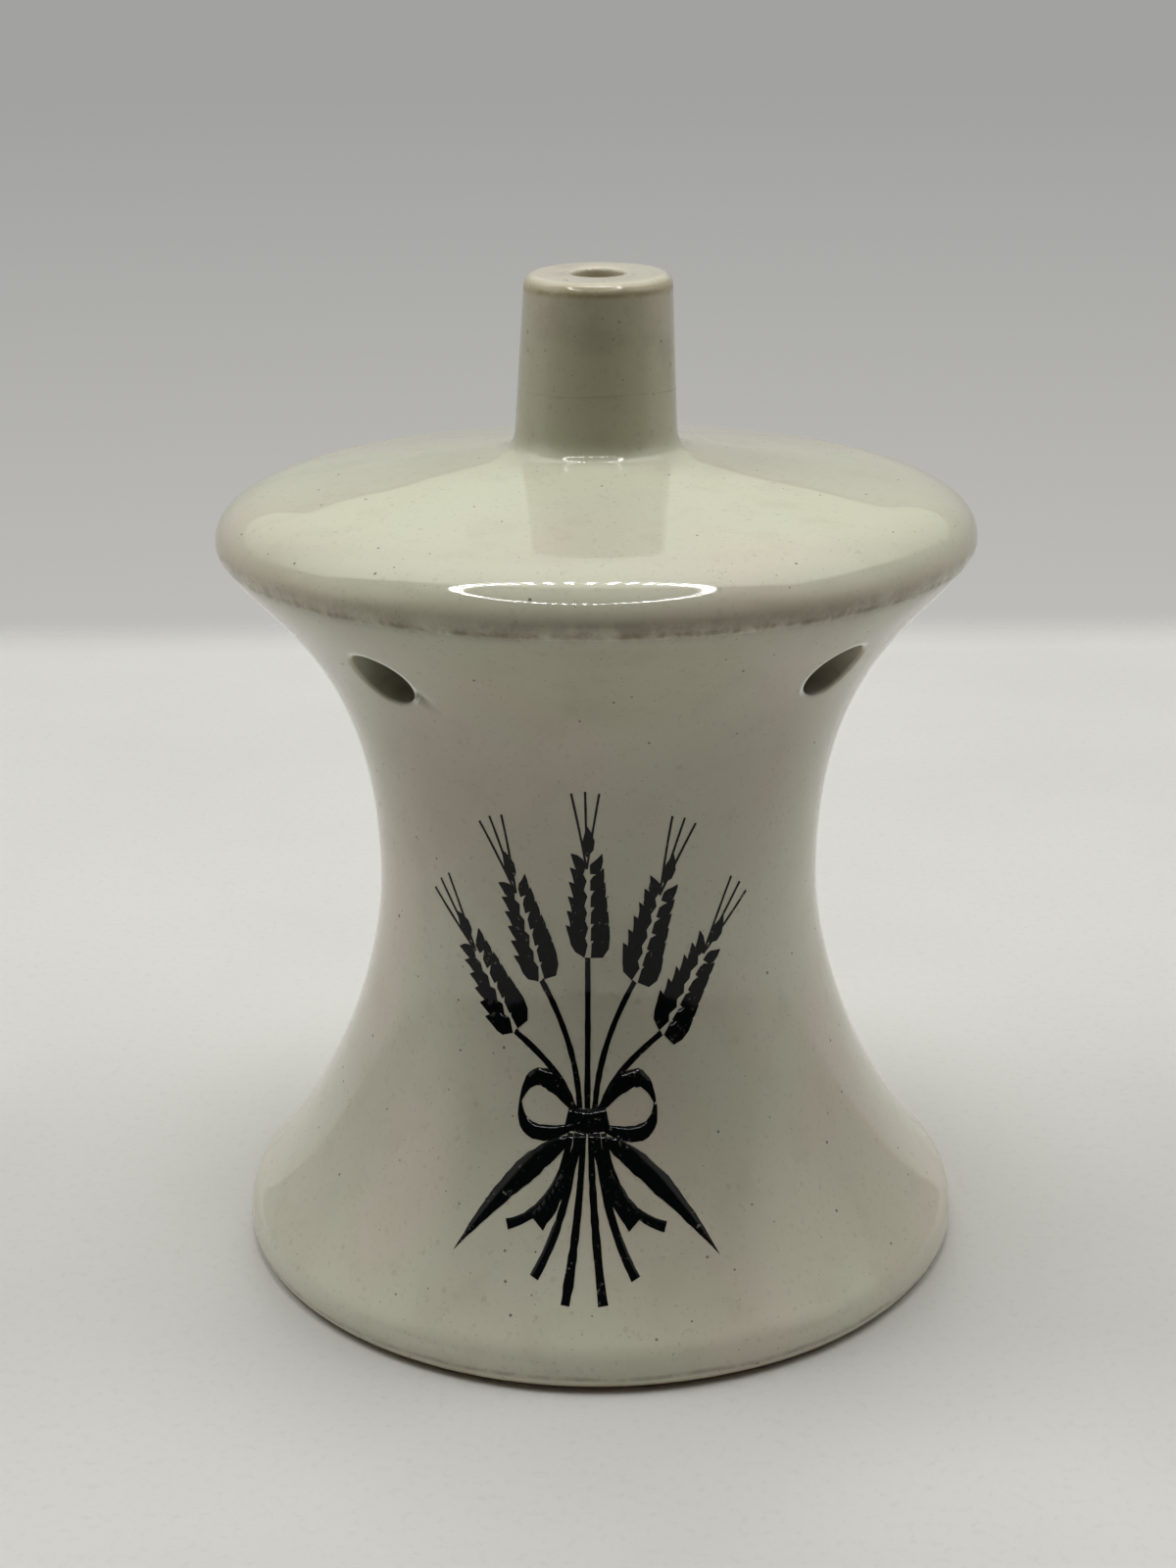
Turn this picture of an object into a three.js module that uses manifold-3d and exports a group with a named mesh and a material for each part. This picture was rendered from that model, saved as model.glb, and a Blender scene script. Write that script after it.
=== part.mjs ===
// Pie funnel: a hollow glazed earthenware vent that stands in a pie and lets the steam out.
// Millimetres, +Z up. The origin is the centre of the foot's resting ring, and the front faces -Y.
// The potter's three sections are a waisted body, a cover with a rolled rim, and a chimney.

import * as THREE from "three";
import { mergeVertices } from "three/addons/utils/BufferGeometryUtils.js";
import Module from "manifold-3d";

// Overall sizes
const overallHeight = 80;
const wallThickness = 4;
const turnedSides = 64;

// Foot: a flat resting ring, a rounded edge, and a lip that rolls over into the flare
const footRadius = 30.25;
const footWidestHeight = 1.45;
const footEdgeInset = 1.6;
const footRingWidth = 3.4;
const footInnerEdge = 0.6;
const lipRound = 3.5;
const flareAngle = THREE.MathUtils.degToRad(42.5);

// Waist, with how far the wall keeps its direction on the way out of each end
const waistRadius = 18.05;
const waistHeight = 32.05;
const flarePull = 9.1;
const waistPullDown = 9.5;
const waistPullUp = 18.1;
const underRimPull = 5.3;

// Rim: the cover's rolled edge, a little inside the foot's, whose lower side meets the body at the worn line
const rimInset = 0.3;
const rimRadius = footRadius - rimInset;
const rimHeight = 60.05;
const rimUnderRound = 2;
const underRimAngle = THREE.MathUtils.degToRad(35);
const shoulderWidth = 6.5;
const shoulderRise = 4;
const shoulderPullUp = 2;
const shoulderPullIn = 3.25;

// Cover: a shallow cone that sweeps up into the chimney
const coverSlope = THREE.MathUtils.degToRad(8.1);
const sweepWidth = 2.75;
const sweepRise = 2.05;
const sweepPullIn = 1.9;
const sweepPullDown = 1.7;
const stubHeight = 3.05;
const ceilingCornerWidth = 1.8;
const ceilingCornerPull = 0.9;
const throatRound = 1.5;

// Chimney: a slightly tapered tube with a straight bore and softened top edges
const chimneyFootRadius = 6.35;
const chimneyTopRadius = 5.75;
const chimneyTopRound = 0.9;
const boreRadius = 2.05;
const boreEdgeRound = 0.3;

// Vents: round holes pierced by hand through the flare under the rim, so their bearings are uneven
const ventDiameter = 5.2;
const ventDrop = 7;
const ventHeight = rimHeight - ventDrop;
const ventRise = THREE.MathUtils.degToRad(25);
const ventBearings = [-40.4, 45.4, 138, -132].map(THREE.MathUtils.degToRad);
const ventSides = 18;

// Steps on the curves
const edgeSteps = 3;
const wallSteps = 10;
const shoulderSteps = 9;
const sweepSteps = 6;

const at = (radius, height) => new THREE.Vector2(radius, height);

/** A point some way from another, where angle is measured up from the outward radius. */
function step(from, angle, distance) {
  return at(from.x + distance * Math.cos(angle), from.y + distance * Math.sin(angle));
}

/** Part of an ellipse round a centre, between two angles measured up from the outward radius. */
function round(centre, width, height, fromAngle, toAngle) {
  const curve = new THREE.EllipseCurve(centre.x, centre.y, width, height, fromAngle, toAngle, toAngle < fromAngle);
  return curve.getPoints(edgeSteps);
}

/** A smooth curve that leaves one point towards a handle and arrives at the other from its own. */
function sweep(start, startHandle, endHandle, end, steps) {
  return new THREE.CubicBezierCurve(start, startHandle, endHandle, end).getPoints(steps);
}

/** Joins runs of points into one outline and drops points that repeat. */
function joined(...runs) {
  const points = runs.flat();
  return points.filter((point, i) => i === 0 || point.distanceTo(points[i - 1]) > 1e-3);
}

/** The radius of an outline that climbs from first to last point, at a given height. */
function radiusAt(outline, height) {
  const above = Math.max(1, outline.findIndex((point) => point.y >= height));
  const [low, high] = [outline[above - 1], outline[above]];
  return THREE.MathUtils.mapLinear(height, low.y, high.y, low.x, high.x);
}

/** The outline moved inwards, towards the axis, by a wall's thickness. */
function inside(outline, thickness) {
  return outline.map((point, i) => {
    const before = outline[Math.max(0, i - 1)];
    const after = outline[Math.min(outline.length - 1, i + 1)];
    const along = Math.atan2(after.y - before.y, after.x - before.x);
    return step(point, along + Math.PI / 2, thickness);
  });
}

/** Turns a closed section, listed anticlockwise, round the axis into a mesh geometry. */
function turned(section) {
  const geometry = new THREE.LatheGeometry([...section, section[0]], turnedSides);
  geometry.rotateX(Math.PI / 2);
  return welded(geometry);
}

/** Keeps only positions and merges the vertices that coincide. */
function welded(geometry) {
  geometry.deleteAttribute("normal");
  geometry.deleteAttribute("uv");
  const merged = mergeVertices(geometry);
  merged.computeVertexNormals();
  return merged;
}

const wasm = await Module();
wasm.setup();

function toSolid(geometry) {
  return new wasm.Manifold(new wasm.Mesh({
    numProp: 3,
    vertProperties: new Float32Array(geometry.attributes.position.array),
    triVerts: new Uint32Array(geometry.index.array),
  }));
}

function toGeometry(solid) {
  const mesh = solid.getMesh();
  const geometry = new THREE.BufferGeometry();
  geometry.setAttribute("position", new THREE.BufferAttribute(mesh.vertProperties, mesh.numProp));
  geometry.setIndex(new THREE.BufferAttribute(mesh.triVerts, 1));
  geometry.computeVertexNormals();
  return geometry;
}

const lipCentre = at(footRadius - lipRound, footWidestHeight);

// Where the sections meet. Heights are 32-bit numbers, as a mesh stores them, so the seats meet exactly.
const coverSeat = at(
  rimRadius - rimUnderRound * (1 - Math.cos(underRimAngle)),
  Math.fround(rimHeight - rimUnderRound * Math.sin(underRimAngle)),
);
const shoulder = at(rimRadius - shoulderWidth, rimHeight + shoulderRise);
const sweepFoot = at(chimneyFootRadius + sweepWidth, coverHeight(chimneyFootRadius + sweepWidth));
const chimneyFoot = at(chimneyFootRadius, sweepFoot.y + sweepRise);
const chimneyTop = at(chimneyTopRadius, overallHeight - chimneyTopRound);
const chimneyTaper = Math.atan2(chimneyTop.y - chimneyFoot.y, chimneyTop.x - chimneyFoot.x);
const chimneySeatHeight = coverSeat.y + Math.fround(chimneyFoot.y + stubHeight - coverSeat.y);
const chimneySeat = at(radiusAt([chimneyFoot, chimneyTop], chimneySeatHeight), chimneySeatHeight);

/** The height of the cover's outside on its cone. */
function coverHeight(radius) {
  return shoulder.y + (shoulder.x - radius) * Math.tan(coverSlope);
}

/** The wall's outside, from the lip's roll up to the cover's seat. */
function wallOutline() {
  const flareStart = step(lipCentre, flareAngle, lipRound);
  const waist = at(waistRadius, waistHeight);
  const flareHandle = step(flareStart, Math.PI / 2 + flareAngle, flarePull);
  const rimHandle = step(coverSeat, -Math.PI / 2 - underRimAngle, underRimPull);
  return joined(
    sweep(flareStart, flareHandle, at(waistRadius, waistHeight - waistPullDown), waist, wallSteps),
    sweep(waist, at(waistRadius, waistHeight + waistPullUp), rimHandle, coverSeat, wallSteps),
  );
}

const wallOutside = wallOutline();
const wallInside = inside(wallOutside, wallThickness);
const seatInnerRadius = radiusAt(wallInside, coverSeat.y);

function bodyGeometry() {
  const footEdgeCentre = at(footRadius - footEdgeInset, footWidestHeight);
  const ringInside = footEdgeCentre.x - footRingWidth;
  const cavity = wallInside.filter((point) => point.y < coverSeat.y && point.x < ringInside);
  const section = joined(
    round(footEdgeCentre, footEdgeInset, footWidestHeight, -Math.PI / 2, 0),
    round(lipCentre, lipRound, lipRound, 0, flareAngle),
    wallOutside,
    [at(seatInnerRadius, coverSeat.y)],
    cavity.reverse(),
    [at(ringInside, footInnerEdge + footWidestHeight)],
    [at(ringInside, footInnerEdge)],
    [at(ringInside + footInnerEdge, 0)],
  );
  return toGeometry(ventCutters().reduce((body, cutter) => body.subtract(cutter), toSolid(turned(section))));
}

/** One round bar for each vent, climbing inwards from below the rim at the vents' rise. */
function ventCutters() {
  const ventRadius = radiusAt(wallOutside, ventHeight);
  return ventBearings.map((bearing) => {
    const bar = new THREE.CylinderGeometry(ventDiameter / 2, ventDiameter / 2, 4 * wallThickness, ventSides);
    bar.rotateX(Math.PI / 2);
    bar.rotateY(ventRise - Math.PI / 2);
    bar.translate(ventRadius, 0, ventHeight);
    bar.rotateZ(bearing - Math.PI / 2);
    return toSolid(welded(bar));
  });
}

function coverGeometry() {
  const rollCentre = at(rimRadius - rimUnderRound, rimHeight);
  const rim = at(rimRadius, rimHeight);
  const towardsAxis = Math.PI - coverSlope;
  const ceilingDrop = wallThickness / Math.cos(coverSlope);
  const ceilingAt = (radius) => at(radius, coverHeight(radius) - ceilingDrop);
  const throat = ceilingAt(boreRadius + throatRound);
  const ceilingEdge = ceilingAt(seatInnerRadius - ceilingCornerWidth);
  const seatInside = at(seatInnerRadius, coverSeat.y);
  const section = joined(
    round(rollCentre, rimUnderRound, rimUnderRound, -underRimAngle, 0),
    sweep(rim, at(rim.x, rim.y + shoulderPullUp), step(shoulder, -coverSlope, shoulderPullIn), shoulder,
      shoulderSteps),
    sweep(sweepFoot, step(sweepFoot, towardsAxis, sweepPullIn), step(chimneyFoot, chimneyTaper, -sweepPullDown),
      chimneyFoot, sweepSteps),
    [chimneySeat],
    [at(boreRadius, chimneySeatHeight)],
    round(at(boreRadius + throatRound, throat.y + throatRound), throatRound, throatRound, Math.PI, 1.5 * Math.PI),
    sweep(ceilingEdge, step(ceilingEdge, -coverSlope, ceilingCornerPull),
      at(seatInside.x, seatInside.y + ceilingCornerPull), seatInside, edgeSteps),
  );
  return turned(section.map((point) => at(point.x, point.y - coverSeat.y)));
}

function chimneyGeometry() {
  const boreTop = overallHeight - boreEdgeRound;
  const section = joined(
    [chimneySeat],
    round(at(chimneyTop.x - chimneyTopRound, chimneyTop.y), chimneyTopRound, chimneyTopRound, 0, Math.PI / 2),
    round(at(boreRadius + boreEdgeRound, boreTop), boreEdgeRound, boreEdgeRound, Math.PI / 2, Math.PI),
    [at(boreRadius, chimneySeatHeight)],
  );
  return turned(section.map((point) => at(point.x, point.y - chimneySeatHeight)));
}

/** A named piece in the cream glaze that covers the whole object. */
function glazed(name, geometry, colour) {
  const mesh = new THREE.Mesh(geometry, new THREE.MeshStandardMaterial({
    color: colour,
    roughness: 0.18,
    metalness: 0,
  }));
  mesh.name = name;
  return mesh;
}

const body = glazed("waisted_body", bodyGeometry(), 0xd6d1c2);
const cover = glazed("domed_cover", coverGeometry(), 0xd2d0bb);
const chimney = glazed("chimney", chimneyGeometry(), 0xcdcab8);

const upperSections = new THREE.Group();
upperSections.position.z = coverSeat.y;
chimney.position.z = chimneySeatHeight - coverSeat.y;
upperSections.add(cover, chimney);

const pieFunnel = new THREE.Group();
pieFunnel.add(body, upperSections);

export default pieFunnel;
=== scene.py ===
# Pie funnel in glossy cream glaze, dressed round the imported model.
# Shapes are worked out in millimetres and stored in metres. +Z is up and the front faces -Y.
# A bearing is an angle round the axis, measured from the front towards +X.
import math

import bpy
import numpy as np
from mathutils import Matrix, Vector, noise


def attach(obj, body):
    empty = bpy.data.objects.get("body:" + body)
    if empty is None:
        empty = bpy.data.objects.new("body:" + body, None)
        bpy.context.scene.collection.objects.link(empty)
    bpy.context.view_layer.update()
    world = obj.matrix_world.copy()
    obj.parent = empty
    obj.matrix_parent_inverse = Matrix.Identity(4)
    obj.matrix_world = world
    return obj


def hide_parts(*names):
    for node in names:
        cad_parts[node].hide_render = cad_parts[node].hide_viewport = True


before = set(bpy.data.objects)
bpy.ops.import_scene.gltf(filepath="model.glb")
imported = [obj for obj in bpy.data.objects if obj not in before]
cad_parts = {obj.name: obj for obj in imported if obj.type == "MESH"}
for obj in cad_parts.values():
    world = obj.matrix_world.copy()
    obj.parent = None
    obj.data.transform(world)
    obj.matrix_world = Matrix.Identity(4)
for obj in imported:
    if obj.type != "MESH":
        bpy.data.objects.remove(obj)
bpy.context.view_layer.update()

MM = 0.001
rad = math.radians

# Camera, in millimetres, degrees and pixels of the whole image
CAMERA_PLACE = (-0.82, -183.42, 102.12)
CAMERA_PITCH = 19.15
CAMERA_ROLL = -0.46
FOCAL_PIXELS = 2404
IMAGE_LONG_SIDE = 1600
SENSOR_LONG_SIDE = 36

# The turned form
OVERALL_HEIGHT = 80
WALL = 4
FOOT_RADIUS = 30.25
FOOT_WIDEST = 1.45
FOOT_EDGE_INSET = 1.6
FOOT_RING = 3.4
FOOT_INNER_EDGE = 0.6
LIP_ROUND = 3.5
FLARE_ANGLE = rad(42.5)
WAIST_RADIUS = 18.05
WAIST_HEIGHT = 32.05
FLARE_PULL = 9.1
WAIST_PULL_DOWN = 9.5
WAIST_PULL_UP = 18.1
UNDER_RIM_PULL = 5.3
RIM_INSET = 0.3
RIM_RADIUS = FOOT_RADIUS - RIM_INSET
RIM_HEIGHT = 60.05
RIM_UNDER_ROUND = 2
UNDER_RIM_ANGLE = rad(35)
SHOULDER_WIDTH = 5.4
SHOULDER_RISE = 3.8
SHOULDER_PULL_UP = 2.7
SHOULDER_PULL_IN = 1.6
COVER_SLOPE = rad(8.1)
SWEEP_WIDTH = 2.75
SWEEP_RISE = 2.05
SWEEP_PULL_IN = 1.9
SWEEP_PULL_DOWN = 1.7
STUB_HEIGHT = 3.05
CEILING_CORNER = 1.8
CEILING_CORNER_PULL = 0.9
THROAT_ROUND = 1.5
CHIMNEY_FOOT_RADIUS = 6.35
CHIMNEY_TOP_RADIUS = 5.75
CHIMNEY_TOP_ROUND = 0.9
BORE_RADIUS = 2.05
BORE_EDGE_ROUND = 0.3

# Vents, pierced by hand, with a groove that the tool dragged beside the first
VENT_RADIUS = 2.6
VENT_DROP = 7
VENT_HEIGHT = RIM_HEIGHT - VENT_DROP
VENT_RISE = rad(25)
VENT_BEARINGS = [rad(-40.4), rad(45.4), rad(138), rad(-132)]
VENT_LIP = 0.35
# Heights between which the wall's rows are even, outside and inside, so that a vent's window fits there
OUTER_BAND = (48.6, 57.4)
INNER_BAND = (51.2, 58.6)
# The groove's two ends as bearing and height, and the share of its depth lost by the end
GROOVE_START = (rad(-35.5), 52.5)
GROOVE_END = (rad(-31.2), 51.45)
GROOVE_WIDTH = 0.5
GROOVE_DEPTH = 0.55
GROOVE_FADE = 0.8

# How the hand-made form strays from a true one: the chimney leans from a height upwards, softly at first,
# its top is cut out of square, and every wall wavers a little
LEAN_START = 65
LEAN_SOFT = 1.5
LEAN_RIGHT = math.tan(rad(1.22))
LEAN_FORWARD = math.tan(rad(2.2))
TOP_TILT = math.tan(rad(2.4))
TOP_TILT_START = 74
STRAY = 0.05
STRAY_SIZE = 13

# Mesh fineness, in numbers of faces and in millimetres
SAME_POINT = 0.001
SIDES = 256
CONE_ROWS = 16
BAND_ROWS = 14
BAND_HALF_COLUMNS = 8
BAND_CLEAR_BELOW = 0.2
BAND_CLEAR_ABOVE = 0.1
PATCH_RINGS = 9
PATCH_CROWDING = 0.8
LIP_STEPS = 4
TUNNEL_STEPS = 3
# Where along a vent's axis its mouths are looked for, and how often that stretch is halved
OUTER_REACH = (-4, 4)
INNER_REACH = (0, 12)
HALVINGS = 40
# Edges at least this sharp, in degrees, are shaded as edges
SHARP_FROM = 40
PRINT_SHARP_FROM = 80


def at(radius, height):
    return np.array([radius, height], float)


def step(start, angle, distance):
    """A point some way from another, where angle is measured up from the outward radius."""
    return start + distance * at(math.cos(angle), math.sin(angle))


def arc(centre, width, height, start, end, steps):
    """Part of an ellipse round a centre."""
    angles = np.linspace(start, end, steps + 1)
    return [centre + at(width * math.cos(a), height * math.sin(a)) for a in angles]


def sweep(start, start_handle, end_handle, end, steps):
    """A smooth curve that leaves one point towards a handle and arrives at the other from its own."""
    t = np.linspace(0, 1, steps + 1)[:, None]
    u = 1 - t
    return list(u**3 * start + 3 * u**2 * t * start_handle + 3 * u * t**2 * end_handle + t**3 * end)


def joined(*runs):
    """Joins runs of points into one outline and drops points that repeat."""
    points = []
    for run in runs:
        for point in run:
            if not points or np.linalg.norm(point - points[-1]) > SAME_POINT:
                points.append(point)
    return points


def inside(outline, thickness):
    """The outline moved towards the axis by a wall's thickness."""
    along = np.gradient(np.array(outline), axis=0)
    normal = np.stack([-along[:, 1], along[:, 0]], 1)
    normal /= np.linalg.norm(normal, axis=1)[:, None]
    return list(np.array(outline) + thickness * normal)


def radius_at(outline, height):
    """The radius of an outline that climbs, at a given height."""
    points = np.array(outline)
    return float(np.interp(height, points[:, 1], points[:, 0]))


# Where the sections meet, and the curves between
COVER_SEAT = at(
    RIM_RADIUS - RIM_UNDER_ROUND * (1 - math.cos(UNDER_RIM_ANGLE)),
    RIM_HEIGHT - RIM_UNDER_ROUND * math.sin(UNDER_RIM_ANGLE),
)
SHOULDER = at(RIM_RADIUS - SHOULDER_WIDTH, RIM_HEIGHT + SHOULDER_RISE)


def cover_height(radius):
    return SHOULDER[1] + (SHOULDER[0] - radius) * math.tan(COVER_SLOPE)


SWEEP_FOOT = at(CHIMNEY_FOOT_RADIUS + SWEEP_WIDTH, cover_height(CHIMNEY_FOOT_RADIUS + SWEEP_WIDTH))
CHIMNEY_FOOT = at(CHIMNEY_FOOT_RADIUS, SWEEP_FOOT[1] + SWEEP_RISE)
CHIMNEY_TOP = at(CHIMNEY_TOP_RADIUS, OVERALL_HEIGHT - CHIMNEY_TOP_ROUND)
CHIMNEY_TAPER = math.atan2(CHIMNEY_TOP[1] - CHIMNEY_FOOT[1], CHIMNEY_TOP[0] - CHIMNEY_FOOT[0])
CHIMNEY_SEAT_HEIGHT = CHIMNEY_FOOT[1] + STUB_HEIGHT
CHIMNEY_SEAT = at(radius_at([CHIMNEY_FOOT, CHIMNEY_TOP], CHIMNEY_SEAT_HEIGHT), CHIMNEY_SEAT_HEIGHT)
LIP_CENTRE = at(FOOT_RADIUS - LIP_ROUND, FOOT_WIDEST)
FLARE_START = step(LIP_CENTRE, FLARE_ANGLE, LIP_ROUND)
WAIST = at(WAIST_RADIUS, WAIST_HEIGHT)
WALL_OUTSIDE = joined(
    sweep(FLARE_START, step(FLARE_START, math.pi / 2 + FLARE_ANGLE, FLARE_PULL),
          WAIST - at(0, WAIST_PULL_DOWN), WAIST, steps=44),
    sweep(WAIST, WAIST + at(0, WAIST_PULL_UP),
          step(COVER_SEAT, -math.pi / 2 - UNDER_RIM_ANGLE, UNDER_RIM_PULL), COVER_SEAT, steps=48),
)
WALL_INSIDE = inside(WALL_OUTSIDE, WALL)
SEAT_INNER_RADIUS = radius_at(WALL_INSIDE, COVER_SEAT[1])


def around(radius, height, bearing):
    """The point at a radius, height and bearing."""
    return Vector((radius * math.sin(bearing), -radius * math.cos(bearing), height))


def settled(point):
    """A point of the true form, moved as the hand-made one strays.

    Its walls are a little uneven, and its chimney leans and has a top cut out of square.
    """
    point = Vector(point)
    outwards = Vector((point.x, point.y, 0))
    if outwards.length > 0:
        outwards.normalize()
    point += outwards * STRAY * noise.noise(Vector((point.x, point.y, point.z)) / STRAY_SIZE)
    tilted = max(0, point.z - TOP_TILT_START) / (OVERALL_HEIGHT - TOP_TILT_START)
    point.z += TOP_TILT * tilted * point.y
    rise = max(0, point.z - LEAN_START)
    rise = rise * rise / (rise + LEAN_SOFT)
    point.x += rise * LEAN_RIGHT
    point.y -= rise * LEAN_FORWARD
    return point


class Skin:
    """The points, in millimetres, and faces of one piece."""

    def __init__(self):
        self.points = []
        self.faces = []

    def ring(self, radius, height):
        """A whole ring of points. Gives their numbers."""
        return self.line([around(radius, height, 2 * math.pi * i / SIDES) for i in range(SIDES)])

    def line(self, points):
        """A run of points. Gives their numbers."""
        first = len(self.points)
        self.points += [tuple(point) for point in points]
        return list(range(first, len(self.points)))

    def band(self, low, high, left_out=()):
        """Faces between two closed runs of points."""
        for i in range(len(low)):
            if i not in left_out:
                j = (i + 1) % len(low)
                self.faces.append((low[i], low[j], high[j], high[i]))

    def piece(self, name, material, sharp=SHARP_FROM):
        """Makes the Blender object, with its points where the hand-made form has them."""
        mesh = bpy.data.meshes.new(name)
        mesh.from_pydata([settled(point) * MM for point in self.points], [], self.faces)
        mesh.validate()
        mesh.polygons.foreach_set("use_smooth", [True] * len(mesh.polygons))
        mesh.set_sharp_from_angle(angle=rad(sharp))
        mesh.materials.append(material)
        made = bpy.data.objects.new(name, mesh)
        bpy.context.scene.collection.objects.link(made)
        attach(made, "root")
        return made


def turned(section):
    """A closed section, listed anticlockwise, turned round the axis."""
    skin = Skin()
    rings = [skin.ring(*point) for point in section]
    for low, high in zip(rings, rings[1:] + rings[:1]):
        skin.band(low, high)
    return skin


def with_band(outline, low, high):
    """The outline with evenly spaced rows between two heights, where the vents go through."""
    rows = [at(radius_at(outline, z), z) for z in np.linspace(low, high, BAND_ROWS + 1)]
    below = [point for point in outline if point[1] < low - BAND_CLEAR_BELOW]
    above = [point for point in outline if point[1] > high + BAND_CLEAR_ABOVE]
    return below + rows + above, len(below)


def window(rings, first_row, bearing, rows_step):
    """The columns of a vent's window, and its edge points anticlockwise from the lower left."""
    middle = round(bearing / (2 * math.pi) * SIDES)
    columns = [(middle + i) % SIDES for i in range(-BAND_HALF_COLUMNS, BAND_HALF_COLUMNS + 1)]
    rows = [rings[first_row + rows_step * i] for i in range(BAND_ROWS + 1)]
    edge = [rows[0][c] for c in columns[:-1]]
    edge += [row[columns[-1]] for row in rows[:-1]]
    edge += [rows[-1][c] for c in columns[:0:-1]]
    edge += [row[columns[0]] for row in rows[:0:-1]]
    return columns[:-1], edge


def vent_frame(bearing):
    """The vent's axis inwards, and the two directions across it."""
    outwards = around(1, 0, bearing)
    across = Vector((math.cos(bearing), math.sin(bearing), 0))
    up = Vector((0, 0, 1))
    inwards = -math.cos(VENT_RISE) * outwards + math.sin(VENT_RISE) * up
    over = math.sin(VENT_RISE) * outwards + math.cos(VENT_RISE) * up
    return inwards, across, over


def vent_hit(bearing, outline, spread, angle, reach):
    """Where a line beside the vent's axis meets the wall's outline, between two distances along it."""
    near, far = reach
    inwards, across, over = vent_frame(bearing)
    middle = around(radius_at(WALL_OUTSIDE, VENT_HEIGHT), VENT_HEIGHT, bearing)
    start = middle + spread * (math.cos(angle) * across + math.sin(angle) * over)
    for _ in range(HALVINGS):
        halfway = (near + far) / 2
        point = start + halfway * inwards
        if math.hypot(point.x, point.y) > radius_at(outline, point.z):
            near = halfway
        else:
            far = halfway
    return start + near * inwards


def bearing_of(point):
    return math.atan2(point[0], -point[1])


def turn_between(start, end):
    """The smaller turn from one bearing to another."""
    return (end - start + math.pi) % (2 * math.pi) - math.pi


def edge_angles(skin, edge, bearing, middle_height):
    """For each edge point of a window, the angle round the vent's axis that belongs to it."""
    angles = []
    for number in edge:
        point = skin.points[number]
        sideways = turn_between(bearing, bearing_of(point)) * math.hypot(point[0], point[1])
        angles.append(math.atan2(point[2] - middle_height, sideways))
    return angles


def pressed(bearing, height, radius):
    """The outside's radius where the tool dragged a groove beside the first vent."""
    start = Vector((GROOVE_START[0] * radius, GROOVE_START[1]))
    end = Vector((GROOVE_END[0] * radius, GROOVE_END[1]))
    here = Vector((turn_between(0, bearing) * radius, height))
    share = (here - start).dot(end - start) / (end - start).length_squared
    share = min(1, max(0, share))
    across = (here - start.lerp(end, share)).length
    return radius - GROOVE_DEPTH * (1 - GROOVE_FADE * share) * math.exp(-((across / GROOVE_WIDTH) ** 2))


def patch_rings(skin, edge, targets, outline, groove):
    """Rings that lead on the wall's surface from a window's edge to a vent's mouth."""
    rings = []
    for i in range(1, PATCH_RINGS + 1):
        share = (i / PATCH_RINGS) ** PATCH_CROWDING
        points = []
        for number, target in zip(edge, targets):
            start = skin.points[number]
            bearing = bearing_of(start) + share * turn_between(bearing_of(start), bearing_of(target))
            height = start[2] + share * (target.z - start[2])
            radius = radius_at(outline, height)
            if groove:
                radius = pressed(bearing, height, radius)
            points.append(around(radius, height, bearing))
        rings.append(skin.line(points))
    return rings


def pierce(skin, bearing, outer_edge, inner_edge):
    """Opens one vent between its window in the outside and its window in the inside."""
    inwards = vent_frame(bearing)[0]
    angles = edge_angles(skin, outer_edge, bearing, VENT_HEIGHT)
    mouth_radius = VENT_RADIUS + VENT_LIP
    outer_mouth = [vent_hit(bearing, WALL_OUTSIDE, mouth_radius, a, OUTER_REACH) for a in angles]
    inner_mouth = [vent_hit(bearing, WALL_INSIDE, mouth_radius, a, INNER_REACH) for a in angles]
    rings = [outer_edge] + patch_rings(skin, outer_edge, outer_mouth, WALL_OUTSIDE, True)
    quarter = [math.pi / 2 * i / LIP_STEPS for i in range(1, LIP_STEPS + 1)]

    def lip(outline, reach, turn, way):
        spread = VENT_RADIUS + VENT_LIP * (1 - math.sin(turn))
        depth = VENT_LIP * (1 - math.cos(turn)) * way
        return [vent_hit(bearing, outline, spread, a, reach) + depth * inwards for a in angles]

    for turn in quarter:
        rings.append(skin.line(lip(WALL_OUTSIDE, OUTER_REACH, turn, 1)))
    outer_throat = [Vector(skin.points[i]) for i in rings[-1]]
    inner_throat = lip(WALL_INSIDE, INNER_REACH, math.pi / 2, -1)
    for i in range(1, TUNNEL_STEPS + 1):
        share = i / (TUNNEL_STEPS + 1)
        rings.append(skin.line([a.lerp(b, share) for a, b in zip(outer_throat, inner_throat)]))
    for turn in quarter[::-1]:
        rings.append(skin.line(lip(WALL_INSIDE, INNER_REACH, turn, -1)))
    inner_rings = patch_rings(skin, inner_edge, inner_mouth, WALL_INSIDE, False)
    rings += inner_rings[::-1] + [inner_edge]
    for low, high in zip(rings, rings[1:]):
        skin.band(low, high)


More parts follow.
